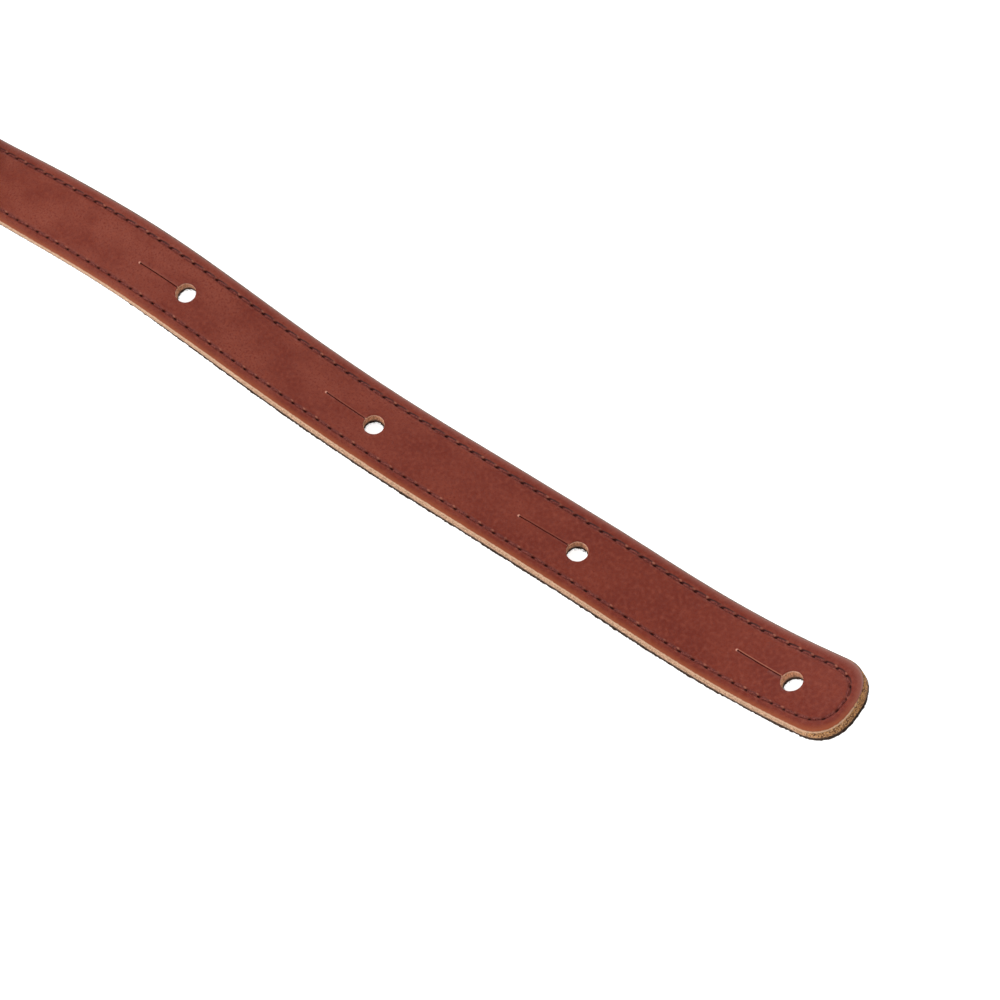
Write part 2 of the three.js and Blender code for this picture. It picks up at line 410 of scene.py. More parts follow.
def keyholes(flare, fray):
    """Cutters for every button hole: a round hole with a flared mouth, its slit and the slit's end dot."""
    cutters = []
    for number, (distance, across, way, tilt, shift, length, _) in enumerate(BUTTON_HOLES):
        spot = Matrix.Translation((distance, across, 0))
        turn = Matrix.Rotation(math.radians(tilt * way), 4, "Z")
        turned = spot @ turn @ Matrix.Translation((0, shift, 0))
        cutters.append(peg_cutter(spot, HOLE_RADIUS, HOLE_TAPER, flare, fray, HOLE_SIDES, number))
        cutters.append(slit_cutter(turned, way, length))
        dot = turned @ Matrix.Translation((way * length, 0, 0))
        cutters.append(peg_cutter(dot, PUNCH_RADIUS, 0.0, PUNCH_FLARE, 0.0, PUNCH_SIDES, number))
    return cutters


def tube_faces(rings, size):
    """Faces of a closed tube of rings with size points each."""
    faces = [list(range(size))[::-1]]
    for low in range(0, (rings - 1) * size, size):
        for k in range(size):
            n = (k + 1) % size
            faces.append([low + k, low + n, low + size + n, low + size + k])
    faces.append([(rings - 1) * size + k for k in range(size)])
    return faces


def peg_cutter(spot, radius, taper, flare, fray, sides, seed):
    """A peg that is wider below, whose mouth widens in a quarter round up to the grain side."""
    neck = -1.6 * flare
    profile = [(radius + 1.5 * taper, CUT_LOW), (radius, -1.0), (radius, neck)]
    profile += [(radius + flare * (1 - math.cos(a)), neck * (1 - math.sin(a))) for a in (0.4, 0.8, 1.2)]
    profile += [(radius + flare * 1.15, 0.12), (radius + flare * 1.2, CUT_HIGH)]
    points = []
    for ring, (reach, height) in enumerate(profile):
        for k in range(sides):
            turn = 2 * math.pi * k / sides
            wave = noise.noise(Vector((math.cos(turn) * 4, math.sin(turn) * 4, seed * 3.7 + ring * 0.4)))
            far = reach + wave * fray
            points.append(spot @ Vector((far * math.cos(turn), far * math.sin(turn), height)))
    return mesh_object("cutter", np.array(points), tube_faces(len(profile), sides))


def slit_cutter(spot, way, length):
    """A knife slit from the round hole to its end dot, open at the grain side and all but shut below."""
    open_half = SLIT_OPENING / 2
    shut_half = SLIT_GAP / 2
    side = [(shut_half, CUT_LOW), (shut_half, -SLIT_DEPTH), (0.75 * open_half, -0.35),
            (open_half, 0.1), (open_half, CUT_HIGH)]
    profile = side + [(-across, height) for across, height in side[::-1]]
    steps = 40
    points = []
    for k in range(steps + 1):
        reach = SLIT_START + (length - SLIT_START) * k / steps
        sway = SLIT_SWAY * noise.noise(Vector((reach * 0.35, spot.translation.x, 0.0)))
        points += [spot @ Vector((way * reach, across + sway, height)) for across, height in profile]
    faces = tube_faces(steps + 1, len(profile))
    if way < 0:
        faces = [face[::-1] for face in faces]
    return mesh_object("cutter", np.array(points), faces)


def cut(made, cutters):
    """Cuts each closed cutter out of a closed mesh."""
    for cutter in cutters:
        tool = made.modifiers.new("cut", "BOOLEAN")
        tool.object = cutter
        tool.operation = "DIFFERENCE"
        tool.solver = "MANIFOLD"
    depsgraph = bpy.context.evaluated_depsgraph_get()
    result = bpy.data.meshes.new_from_object(made.evaluated_get(depsgraph))
    made.modifiers.clear()
    made.data = result
    for cutter in cutters:
        bpy.data.objects.remove(cutter)


def give(made, name, values):
    """Stores one number or one vector for each vertex, for the materials."""
    kind, field = ("FLOAT_VECTOR", "vector") if values.ndim > 1 else ("FLOAT", "value")
    layer = made.data.attributes.new(name, kind, "POINT")
    layer.data.foreach_set(field, values.astype(np.float32).ravel())


def near_edge(flat):
    """How far in from the edge each flat point is, less the seam's shift, and its stitches along the seam."""
    distance, across = flat[:, 0], np.abs(flat[:, 1])
    inset = bent_by(END_WIDTH, WIDTH_BENDS, distance) / 2 - across
    length = np.interp(distance, EDGE_POINTS[:, 0], SEAM_LENGTHS)
    # round the ends the nearest point of the edge is searched for
    last = len(EDGE_POINTS)
    tree = kdtree.KDTree(2 * END_POINTS)
    for i in (*range(END_POINTS), *range(last - END_POINTS, last)):
        tree.insert((*EDGE_POINTS[i], 0), i)
    tree.balance()
    for i in np.flatnonzero((distance < END_REACH) | (distance > LENGTH - END_REACH)):
        _, index, far = tree.find((distance[i], across[i], 0))
        inset[i] = far
        length[i] = SEAM_LENGTHS[index]
    inset -= seam_shift(length, flat[:, 1]) * np.clip(inset / STITCH_INSET, 0, 1)
    return inset, np.sign(flat[:, 1]) * stitches_at(length) - STITCH_PHASE


def lay(made, flat):
    """Moves a piece's flat points to where the strap lies, in metres."""
    set_vertices(made, (bent_points(flat) + ORIGIN) * MM)
    for polygon in made.data.polygons:
        polygon.use_smooth = True
    # walking from the tip runs against the strap's own direction, so the faces turn over
    made.data.flip_normals()


def origin():
    """Where the grain side of the tail tip is in the frame: the strap's box has to be the CAD model's."""
    rim = bent_points(np.vstack([flat_loop(0, 0), flat_loop(0, -THICKNESS)]))
    low, high = np.array(cad_box[0]) / MM, np.array(cad_box[1]) / MM
    tip = high[0] + TIP_STRETCH - rim[:, 0].max()
    return np.array([tip, low[1] - rim[:, 1].min(), low[2] - rim[:, 2].min()])


ORIGIN = origin()


# ---------- The leather ----------

def leaned(loop):
    """The loop with its ends moved out the deeper they are, for the lean of the cut there."""
    moved = loop.copy()
    from_end = np.minimum(loop[:, 0], LENGTH - loop[:, 0])
    lean = END_SPLAY * np.exp(-(from_end / END_SPLAY_REACH) ** 2)
    way = np.where(loop[:, 0] < LENGTH / 2, 1, -1)
    moved[:, 0] += way * lean * np.minimum(loop[:, 2], 0) / THICKNESS
    return moved


def leather():
    """The grain leather layer, from the glue line up to its rounded and dented grain side."""
    ring = flat_loop(0, 0)
    profile = []
    for seed, (height, bulge) in enumerate(EDGE_BULGES, 1):
        profile.append((EDGE_FRAY * waved(ring, 1.6, seed) + bulge, height))
    rounding = [math.radians(a) for a in (0, 14, 27, 40, 54, 71, 90)]
    profile += [(ROUNDED_WIDTH * (1 - math.cos(a)), ROUNDED_DEPTH * (math.sin(a) - 1)) for a in rounding]
    beside_seam = (-0.95, -0.65, -0.42, -0.2, 0.0, 0.2, 0.42, 0.65, 0.95, 1.5)
    profile += [(STITCH_INSET + away + SHIFTS, 0) for away in beside_seam]
    loops = [leaned(flat_loop(*place)) for place in profile]
    made = lofted("leather", loops, first_lines=1, last_lines=10)
    cut(made, keyholes(HOLE_FLARE, HOLE_FRAY))
    flat = vertices_of(made)
    inset, stitch = near_edge(flat)
    side = np.tanh(flat[:, 1] / 1.5)
    give(made, "flat", flat)
    give(made, "inset", inset)
    give(made, "stitch", stitch)
    give(made, "side", side)
    top = np.clip((flat[:, 2] + 1.2) / 1.2, 0, 1)
    swell = 0.10 * waved(flat, 0.045, 2) + 0.03 * waved(flat, 0.22, 3)
    flat[:, 2] += top * seam_relief(flat, inset, stitch, side) + swell
    lay(made, flat)
    return made


def seam_relief(flat, inset, stitch, side):
    """How far the grain side is raised by the lips and sunk by the groove and the needle holes."""
    along = (stitch - np.round(stitch)) * STITCH_PITCH * np.sign(flat[:, 1])
    outward = STITCH_INSET - inset
    groove = np.exp(-(outward / GROOVE_WIDTH) ** 2)
    pit = np.exp(-((along + NEEDLE_SETBACK) / NEEDLE_LENGTH) ** 2 - (outward / NEEDLE_WIDTH) ** 2)
    off_burr = (along - BURR_OFFSET[0]) ** 2 + (outward - BURR_OFFSET[1] * side) ** 2
    burr = np.exp(-off_burr / BURR_RADIUS ** 2)
    return (BURR_HEIGHT * burr - GROOVE_DEPTH * groove - NEEDLE_DEPTH * pit) * (inset < SEAM_BAND)


# ---------- The suede backing ----------

def backing():
    """The suede layer, ragged at its edge and grooved along the seam below."""
    ring = flat_loop(0, 0)
    ragged = 0.16 * waved(ring, 0.12, 5) + 0.24 * waved(ring, 1.4, 6) - 0.08
    ragged = np.clip(ragged + bent_by(0, SUEDE_TRIM, ring[:, 0]), -0.4, 0.9)
    low = -THICKNESS
    inner = [(inset + SHIFTS, low) for inset in (4.8, 4.2, 3.9, 3.6, 3.3, 3.0, 2.2)] + [(1.3, low)]
    sides = [(0.12, 0.0), (-0.02, 0.3), (0.0, 0.65), (0.1, THICKNESS - LEATHER - GLUE_LINE)]
    outer = [(ragged + more, low + rise) for more, rise in sides]
    loops = [leaned(flat_loop(*place)) for place in inner + outer]
    made = lofted("backing", loops, first_lines=8, last_lines=1)
    cut(made, keyholes(SUEDE_FLARE, SUEDE_FRAY))
    flat = vertices_of(made)
    inset, stitch = near_edge(flat)
    give(made, "flat", flat)
    along = (stitch - np.round(stitch)) * STITCH_PITCH
    inward = inset - STITCH_INSET
    groove = SUEDE_GROOVE * np.exp(-(inward / SUEDE_GROOVE_WIDTH) ** 2)
    pit = SUEDE_PIT * np.exp(-(along ** 2 + inward ** 2) / SUEDE_PIT_RADIUS ** 2) * (inset < SEAM_BAND)
    nap = SUEDE_NAP * spread(flat, 1.1, 7)
    bottom = np.clip((low + 0.8 - flat[:, 2]) / 0.8, 0, 1)
    flat[:, 2] += bottom * (groove + pit + nap + 0.04)
    lay(made, flat)
    return made


# ---------- Thread ----------

class Strands:
    """Gathers many thin closed tubes into one mesh."""

    def __init__(self):
        self.points = []
        self.faces = []
        self.used = 0

    def add(self, line, sideways, radii, sides):
        """A tube along a line, its rings square to sideways and up."""
        angles = 2 * math.pi * np.arange(sides) / sides
        ring = np.outer(np.cos(angles), sideways) + np.outer(np.sin(angles), (0, 0, 1))
        self.points.append((line[:, None, :] + ring[None] * np.asarray(radii)[:, None, None]).reshape(-1, 3))
        self.faces += [[self.used + k for k in face] for face in tube_faces(len(line), sides)]
        self.used += len(line) * sides

    def made(self, name):
        return mesh_object(name, np.vstack(self.points), self.faces)


def stitched(name, rings, seed, height, dip, slant):
    """One twisted stitch between each two needle holes, its ends turned down into the holes."""
    strands = Strands()
    shares = []
    rng = np.random.default_rng(seed)
    share = np.linspace(0, 1, rings)
    arch = np.sin(math.pi * share)
    radii = np.full(rings, PLY_RADIUS)
    radii[[0, -1]] *= 0.6
    away = THREAD_RADIUS - PLY_RADIUS
    for start, end in zip(NEEDLE_HOLES, NEEDLE_HOLES[1:]):
        heading = (end - start) / np.linalg.norm(end - start)
        sideways = np.array([-heading[1], heading[0], 0.0])
        toward_tip = share if start[0] > end[0] else 1 - share
        first_turn = rng.uniform(0, 2 * math.pi)
        rise = rng.uniform(-0.04, 0.04)
        sway = rng.uniform(-0.05, 0.05)
        sink = 0.35 * np.exp(-(toward_tip / 0.2) ** 2)
        lift = height + dip * (arch ** 0.45 - 1) - sink + rise
        centre = start + np.outer(share, end - start) + sway * np.outer(arch, sideways[:2])
        slanted = slant * (toward_tip - 0.45) * arch ** 0.4
        centre[:, 1] += slanted * np.tanh(start[1] / 3) * np.tanh(end[1] / 3)
        for ply in range(PLIES):
            twist = first_turn + 2 * math.pi * (ply / PLIES + PLY_TWIST * share)
            place = centre + np.outer(away * np.cos(twist), sideways[:2])
            line = np.column_stack([place, lift + away * np.sin(twist)])
            strands.add(line, sideways, radii, PLY_SIDES)
            shares.append(np.repeat(toward_tip, PLY_SIDES))
    made = strands.made(name)
    give(made, "share", np.concatenate(shares))
    return made


def needle_stitches():
    """The thread seen on the grain side."""
    made = stitched("needle_stitches", rings=11, seed=11, height=-0.26, dip=0.75, slant=0.42)
    lay(made, vertices_of(made))
    return made


def bobbin_stitches():
    """The thread seen on the suede side, made the other way up."""
    made = stitched("bobbin_stitches", rings=9, seed=12, height=0.0, dip=0.6, slant=0.0)
    flat = vertices_of(made)
    flat[:, 2] = -THICKNESS + 0.25 - flat[:, 2]
    lay(made, flat)
    made.data.flip_normals()
    return made


# ---------- Loose suede fibres along the cut edges ----------

def fibre(strands, rng, spot, out, length):
    """A short tapering hair that leaves the edge outward and bends off to one side."""
    along = np.array([out[1], -out[0]])
    height = -THICKNESS + rng.uniform(0.15, 1.15)
    bend = rng.uniform(-0.9, 0.9)
    rise = rng.uniform(-0.35, 0.15)
    share = np.array([0.0, 0.5, 1.0])
    outward = length * share * (1 - 0.25 * share)
    flat = spot + np.outer(outward, out) + np.outer(bend * length * share ** 2, along)
    heights = np.maximum(height + rise * length * share, -THICKNESS + 0.04)
    strands.add(np.column_stack([flat, heights]), np.append(along, 0), FIBRE_RADII, 3)


def edge_fibres():
    """Hairs all round the backing's edge and in its button holes."""
    rng = np.random.default_rng(21)
    strands = Strands()
    ring = flat_loop(0.3, 0)[:, :2]
    closed = np.vstack([ring, ring[:1]])
    path = np.concatenate([[0], np.cumsum(np.linalg.norm(np.diff(closed, axis=0), axis=1))])
    places = np.sort(rng.uniform(0, path[-1], int(path[-1] / FIBRE_SPACING)))
    spots = np.stack([np.interp(places, path, closed[:, k]) for k in range(2)], 1)
    ahead = np.stack([np.interp(places + 0.3, path, closed[:, k]) for k in range(2)], 1)
    for spot, on in zip(spots, ahead):
        along = (on - spot) / max(np.linalg.norm(on - spot), 1e-6)
        spread_here = FIBRE_TIP_SPREAD if spot[0] < FIBRE_TIP_REACH else FIBRE_SPREAD
        length = FIBRE_SHORTEST + spread_here * rng.uniform() ** 3
        fibre(strands, rng, spot, np.array([-along[1], along[0]]), length)
    for distance, across, *_ in BUTTON_HOLES:
        for angle in rng.uniform(0, 2 * math.pi, HOLE_FIBRES):
            out = -np.array([math.cos(angle), math.sin(angle)])
            spot = np.array([distance, across]) - out * (HOLE_RADIUS - 0.1)
            fibre(strands, rng, spot, out, rng.uniform(0.25, 0.7))
    made = strands.made("suede_fibres")
    lay(made, vertices_of(made))
    return made


# ---------- Materials ----------

class Shader:
    """Builds a material's nodes with short calls."""

    def __init__(self, name, roughness, specular):
        self.material = bpy.data.materials.new(name)
        self.material.use_nodes = True
        self.tree = self.material.node_tree
        self.principled = self.tree.nodes["Principled BSDF"]
        self.principled.inputs["Roughness"].default_value = roughness
        self.principled.inputs["Specular IOR Level"].default_value = specular

    def node(self, kind, inputs, **settings):
        made = self.tree.nodes.new(kind)
        for key, value in settings.items():
            setattr(made, key, value)
        for key, value in inputs.items():
            self.put(made.inputs[key], value)
        return made

    def put(self, socket, value):
        if isinstance(value, bpy.types.NodeSocket):
            self.tree.links.new(value, socket)
        else:
            socket.default_value = value

    def attribute(self, name, output="Fac"):
        return self.node("ShaderNodeAttribute", {}, attribute_name=name).outputs[output]

    def place(self):
        return self.node("ShaderNodeTexCoord", {}).outputs["Object"]

    def noise(self, vector, scale, detail=3.0, roughness=0.5, stretch=(1, 1, 1)):
        placed = self.node("ShaderNodeVectorMath", {0: vector, 1: stretch}, operation="MULTIPLY").outputs[0]
        inputs = {"Vector": placed, "Scale": scale, "Detail": detail, "Roughness": roughness}
        return self.node("ShaderNodeTexNoise", inputs).outputs["Fac"]

    def cells(self, vector, scale, feature):
        return self.node("ShaderNodeTexVoronoi", {"Vector": vector, "Scale": scale}, feature=feature).outputs

    def ramp(self, value, low, high, to_low=0.0, to_high=1.0):
        inputs = {"Value": value, "From Min": low, "From Max": high, "To Min": to_low, "To Max": to_high}
        return self.node("ShaderNodeMapRange", inputs, interpolation_type="SMOOTHSTEP").outputs["Result"]

    def math(self, operation, a, b=0.0):
        return self.node("ShaderNodeMath", {0: a, 1: b}, operation=operation).outputs[0]

    def mix(self, share, first, second):
        made = self.node("ShaderNodeMix", {0: share}, data_type="RGBA")
        colours = [socket for socket in made.inputs if socket.type == "RGBA"]
        self.put(colours[0], first)
        self.put(colours[1], second)
        return next(socket for socket in made.outputs if socket.type == "RGBA")

    def product(self, *values):
        result = values[0]
        for value in values[1:]:
            result = self.math("MULTIPLY", result, value)
        return result

    def sum(self, *values):
        result = values[0]
        for value in values[1:]:
            result = self.math("ADD", result, value)
        return result

    def length(self, first, second):
        """The length of a vector with these two parts."""
        return self.math("SQRT", self.sum(self.product(first, first), self.product(second, second)))

    def oval(self, along, away, size):
        """How far out in an oval a place is, 1 at the rim."""
        return self.length(self.product(along, 1 / size[0]), self.product(away, 1 / size[1]))

    def moved(self, vector, value):
        """The vector moved along every axis by a value that is 0.5 for no move."""
        centred = self.math("SUBTRACT", value, 0.5)
        move = self.node("ShaderNodeCombineXYZ", {0: centred, 1: centred, 2: centred}).outputs[0]
        return self.node("ShaderNodeVectorMath", {0: vector, 1: move}, operation="ADD").outputs[0]

    def bump(self, height, strength, distance):
        inputs = {"Height": height, "Strength": strength, "Distance": distance}
        return self.node("ShaderNodeBump", inputs).outputs["Normal"]

    def finish(self, **inputs):
        for key, value in inputs.items():
            self.put(self.principled.inputs[key.replace("_", " ")], value)
        return self.material


def srgb(red, green, blue):
    """A linear colour from its 0 to 255 screen values."""
    def linear(value):
        value /= 255
        return value / 12.92 if value <= 0.04045 else ((value + 0.055) / 1.055) ** 2.4
    return (linear(red), linear(green), linear(blue), 1.0)


# The grain side and its marks
GRAIN = srgb(121, 43, 23)
GRAIN_BODY = srgb(137, 65, 48)
GRAIN_DEEP = srgb(104, 27, 9)
GRAIN_WARM = srgb(138, 62, 43)
NEAR_MARGIN = srgb(150, 74, 40)
FAR_MARGIN_SHEEN = srgb(136, 76, 63)
SEAM = srgb(102, 42, 34)
LIP_HIGHLIGHT = srgb(186, 116, 92)
FLECK = srgb(178, 118, 92)
DOT = srgb(226, 160, 138)
SHADOW_LINE = srgb(60, 14, 8)
FAR_RIM_SHEEN = srgb(150, 118, 108)
NEEDLE_HOLE_SHADE = srgb(50, 6, 3)
SLIT_DYE_AND_SHADE = srgb(98, 20, 11)
# The cut edge and the walls of the holes
CUT = srgb(186, 142, 112)
CUT_PALE = srgb(222, 182, 150)
CUT_DARK = srgb(88, 54, 32)
CUT_GOLD = srgb(190, 134, 78)
CUT_FAR_SHADE = srgb(110, 84, 70)
CUT_FOOT = srgb(66, 46, 33)
HOLE_SIDE = srgb(230, 166, 126)
HOLE_RIM_HIGHLIGHT = srgb(244, 190, 160)
# The suede, its loose hairs and the thread
SUEDE_DARK = srgb(34, 24, 19)
SUEDE_LIGHT = srgb(60, 44, 35)
SUEDE_BRUSHED = srgb(28, 19, 15)
SUEDE_STROKED = srgb(74, 55, 43)
SUEDE_SHEEN = (0.7, 0.5, 0.38, 1.0)
FIBRE_DARK = srgb(40, 28, 22)
FIBRE_LIGHT = srgb(74, 56, 44)
THREAD_DARK = srgb(86, 36, 34)
THREAD_LIGHT = srgb(142, 76, 66)

# Half sizes of the painted highlights beside each needle hole and of its painted shade, along the seam and
# across it
LIP_SIZE = (0.7, 0.32)
FOLD_SIZE = (0.7, 0.3)
PIT_SIZE = (0.9, 0.3)
FOLD_OFFSET = 0.62
PIT_SETBACK = 0.38


def flecks(s, flat):
    """A few small rubbed spots, far apart."""
    wobbled = s.moved(flat, s.noise(flat, 1.6, 2))
    cell = s.cells(wobbled, 0.085, "F1")
    chosen = s.ramp(s.node("ShaderNodeSeparateColor", {0: cell["Color"]}).outputs[0], 0.80, 0.82)
    return s.product(s.ramp(cell["Distance"], 0.045, 0.02), chosen)


def stitch_marks(s, inset, colour):
    """Darker leather round the thread, its painted shadow line, painted shade in the needle holes and painted
    highlights on the lips beside them.
    """
    stitch = s.attribute("stitch")
    side = s.attribute("side")
    outward = s.math("SUBTRACT", STITCH_INSET, inset)
    seam = s.math("ABSOLUTE", outward)
    near = s.ramp(seam, 1.5, 1.2)
    number = s.math("ROUND", stitch)
    away_from_tip = s.sum(s.product(s.math("GREATER_THAN", side, 0.0), 2.0), -1.0)
    along = s.product(s.math("SUBTRACT", stitch, number), STITCH_PITCH, away_from_tip)
    toward_tip = s.math("FRACT", s.product(along, -1 / STITCH_PITCH))
    slope = s.ramp(side, -1.0, 1.0, -0.15, 1.0)
    colour = s.mix(s.ramp(seam, 1.0, 0.2, 0, 0.6), colour, SEAM)
    # the shadow line slants from each hole to the next
    rise = s.ramp(toward_tip, 0.0, 0.45, 0.05, 0.5)
    off_line = s.math("ABSOLUTE", s.math("SUBTRACT", outward, s.product(rise, slope)))
    stretch = s.product(s.ramp(toward_tip, 0.08, 0.2), s.ramp(toward_tip, 0.97, 0.88), near)
    fading = s.ramp(toward_tip, 0.2, 0.95, 1.0, 0.7)
    colour = s.mix(s.product(s.ramp(off_line, 0.30, 0.10), stretch, fading), colour, SHADOW_LINE)
    # the lip and the fold beside each hole get a painted highlight, some more than others
    chance = s.node("ShaderNodeTexWhiteNoise", {"W": number}, noise_dimensions="1D").outputs["Value"]
    strength = s.product(s.ramp(chance, 0.0, 1.0, 0.1, 0.6), near)
    past = s.math("SUBTRACT", along, BURR_OFFSET[0])
    lip = s.oval(past, s.math("SUBTRACT", outward, s.product(side, BURR_OFFSET[1])), LIP_SIZE)
    colour = s.mix(s.product(s.ramp(lip, 1.1, 0.4), strength), colour, LIP_HIGHLIGHT)
    fold = s.oval(past, s.math("ADD", outward, s.product(side, FOLD_OFFSET)), FOLD_SIZE)
    colour = s.mix(s.product(s.ramp(fold, 1.1, 0.5, 0, 0.3), strength), colour, LIP_HIGHLIGHT)
    # painted shade fills each needle hole, a slanted oval
    tilt = s.product(slope, s.sum(s.product(along, 0.35), -0.04))
    pit = s.oval(s.math("ADD", along, PIT_SETBACK), s.math("ADD", outward, tilt), PIT_SIZE)
    return s.mix(s.product(s.ramp(pit, 1.2, 0.7, 0, 0.97), near), colour, NEEDLE_HOLE_SHADE)


def slit_marks(s, place, colour):
    """A painted highlight on the far lip of each slit, and the pale dot at its end."""
    for distance, across, way, tilt, shift, length, shine in BUTTON_HOLES:
        lean = math.radians(tilt * way)
        out = s.math("SUBTRACT", place[0], distance)
        off = s.math("SUBTRACT", place[1], across)
        along = s.sum(s.product(out, way * math.cos(lean)), s.product(off, way * math.sin(lean)))
        beside = s.sum(s.product(off, math.cos(lean)), s.product(out, -math.sin(lean)), -shift)
        # the painted highlight along the slit's lip
        lip = s.ramp(s.math("ABSOLUTE", s.math("SUBTRACT", beside, SLIT_LIP)), 0.2, 0.06, 0, shine)
        span = s.product(s.ramp(along, 2.0, 3.0), s.ramp(along, length + 0.3, length - 0.3))
        colour = s.mix(s.product(lip, span), colour, LIP_HIGHLIGHT)
        past = s.math("SUBTRACT", along, length + SLIT_DOT)
        colour = s.mix(s.ramp(s.length(past, beside), 0.55, 0.2, 0, 0.8), colour, DOT)
    return colour


def grain_colour(s, flat, place, inset, far_side, mottle, speckle):
    """The dyed face, cloudy, mottled and speckled, paler where it rounds down to the edge, with a painted
    sheen on the far side.
    """
    cloudy = s.noise(flat, 0.09, 4, 0.55, (0.6, 1, 1))
    base = s.mix(s.ramp(place[0], 60, 300), GRAIN, GRAIN_BODY)
    colour = s.mix(s.ramp(cloudy, 0.3, 0.7, 0, 0.8), base, GRAIN_DEEP)
    colour = s.mix(s.ramp(mottle, 0.42, 0.68, 0, 0.7), colour, GRAIN_WARM)
    colour = s.mix(s.ramp(speckle, 0.46, 0.70, 0, 0.9), colour, GRAIN_DEEP)
    # the rounded margin: orange-brown on the near side, a greyish painted sheen on the far side
    margin = s.mix(far_side, NEAR_MARGIN, FAR_MARGIN_SHEEN)
    colour = s.mix(s.ramp(inset, 2.2, 0.3, 0, 0.85), colour, margin)
    # a paler painted sheen along the very edge of the far side
    rim = s.product(s.ramp(inset, 0.9, 0.1, 0, 0.7), s.ramp(far_side, 0.5, 1.0))
    colour = s.mix(rim, colour, FAR_RIM_SHEEN)
    colour = s.mix(flecks(s, flat), colour, FLECK)
    colour = slit_marks(s, place, colour)
    return stitch_marks(s, inset, colour)


def edge_colour(s, height, far_side, at_tip, fibres, specks):
    """The cut edge, with pale fibres and dark pores over a dark foot, and golden at the tail tip; painted
    shade darkens its far side and a painted highlight runs along the top of its near side.
    """
    # painted shade: the far side is darker and has fewer pale fibres
    colour = s.mix(at_tip, s.mix(far_side, CUT, CUT_FAR_SHADE), CUT_GOLD)
    pale = s.product(s.ramp(far_side, 1.0, 0.0, 0.3, 1.0), s.ramp(at_tip, 0, 1, 1.0, 0.45))
    colour = s.mix(s.product(s.ramp(fibres, 0.45, 0.62), pale), colour, CUT_PALE)
    pores = s.ramp(s.sum(specks, s.product(at_tip, 0.035)), 0.50, 0.58)
    colour = s.mix(s.product(pores, s.ramp(at_tip, 0, 1, 0.7, 1.0)), colour, CUT_DARK)
    # a painted highlight along the top of the near side
    top_highlight = s.ramp(height, CUT_LEVEL - 0.55, CUT_LEVEL - 0.1, 0, 0.75)
    colour = s.mix(s.product(top_highlight, s.ramp(far_side, 0.9, 0.3)), colour, CUT_PALE)
    foot = s.sum(height, s.product(specks, 1.2), s.product(at_tip, 0.45))
    return s.mix(s.ramp(foot, -2.1, -2.5, 0, 0.95), colour, CUT_FOOT)


def hole_colour(s, flat, height, specks):
    """The punched wall of a button hole, with a painted highlight at its rim and painted shade in streaks
    further down.
    """
    streaks = s.noise(flat, 1.7, 3, 0.6, (1, 1, 0.12))
    colour = s.mix(s.ramp(streaks, 0.47, 0.66, 0, 0.6), HOLE_SIDE, CUT_DARK)
    # painted shade deeper in the hole, with a streaky edge
    depth = s.sum(height, specks, s.product(streaks, 2.0))
    colour = s.mix(s.ramp(depth, -0.9, -2.4), colour, CUT_FOOT)
    # a painted highlight along the rim
    colour = s.mix(s.ramp(height, -0.9, -0.45), colour, HOLE_RIM_HIGHLIGHT)
    return s.mix(s.ramp(specks, 0.5, 0.62, 0, 0.6), colour, CUT_DARK)


def nearest_hole(s, place):
    """How far each point is from the middle of the nearest round hole."""
    nearest = 100.0
    for distance, across, *_ in BUTTON_HOLES:
        out = s.math("SUBTRACT", place[0], distance)
        off = s.math("SUBTRACT", place[1], across)
        nearest = s.math("MINIMUM", nearest, s.length(out, off))
    return nearest


def grain_leather():
    s = Shader("grain_leather", 0.42, 0.22)
    flat = s.attribute("flat", "Vector")
    inset = s.attribute("inset")
    place = s.node("ShaderNodeSeparateXYZ", {0: flat}).outputs
    height = place[2]
    far_side = s.ramp(place[1], -9, 9)
    at_tip = s.ramp(place[0], 15, 4)
    mottle = s.noise(flat, 0.75, 4, 0.6)
    speckle = s.noise(flat, 1.5, 3, 0.65)
    fibres = s.noise(flat, 1.3, 4, 0.65, (1, 1, 1.5))
    specks = s.noise(flat, 1.9, 4, 0.65, (1, 1, 1.2))
    grain = grain_colour(s, flat, place, inset, far_side, mottle, speckle)
    # past the seam, only the walls of the holes and the sides of the slits are raw
    in_hole = s.ramp(inset, 5.0, 5.5)
    in_slit = s.product(in_hole, s.ramp(nearest_hole(s, place), 3.7, 3.9))
    edge = edge_colour(s, height, far_side, at_tip, fibres, specks)
    raw = s.mix(in_hole, edge, hole_colour(s, flat, height, specks))
    # the slit's sides are dark red: the dye, and painted shade inside the narrow slit
    raw = s.mix(in_slit, raw, SLIT_DYE_AND_SHADE)
    wander = s.product(s.math("SUBTRACT", fibres, 0.5), 0.25)
    below_dye = s.ramp(s.math("ADD", height, wander), CUT_LEVEL + 0.06, CUT_LEVEL - 0.06)
    below_mouth = s.product(in_hole, s.ramp(height, -0.02, -0.08))
    is_cut = s.math("MAXIMUM", below_dye, below_mouth)
    pores = s.ramp(s.cells(flat, 3.4, "DISTANCE_TO_EDGE")["Distance"], 0.0, 0.12)
    skin = s.sum(s.product(pores, 0.5), s.noise(flat, 5.0, 5, 0.65), s.product(speckle, 1.5))
    relief = s.sum(skin, s.product(is_cut, fibres, 6.0), s.product(is_cut, specks, 6.0))
    rough = s.sum(s.ramp(is_cut, 0, 1, 0.42, 0.85), s.product(s.math("SUBTRACT", mottle, 0.5), 0.2))
    normal = s.bump(relief, 0.6, 0.00012)
    return s.finish(Base_Color=s.mix(is_cut, grain, raw), Roughness=rough, Normal=normal)


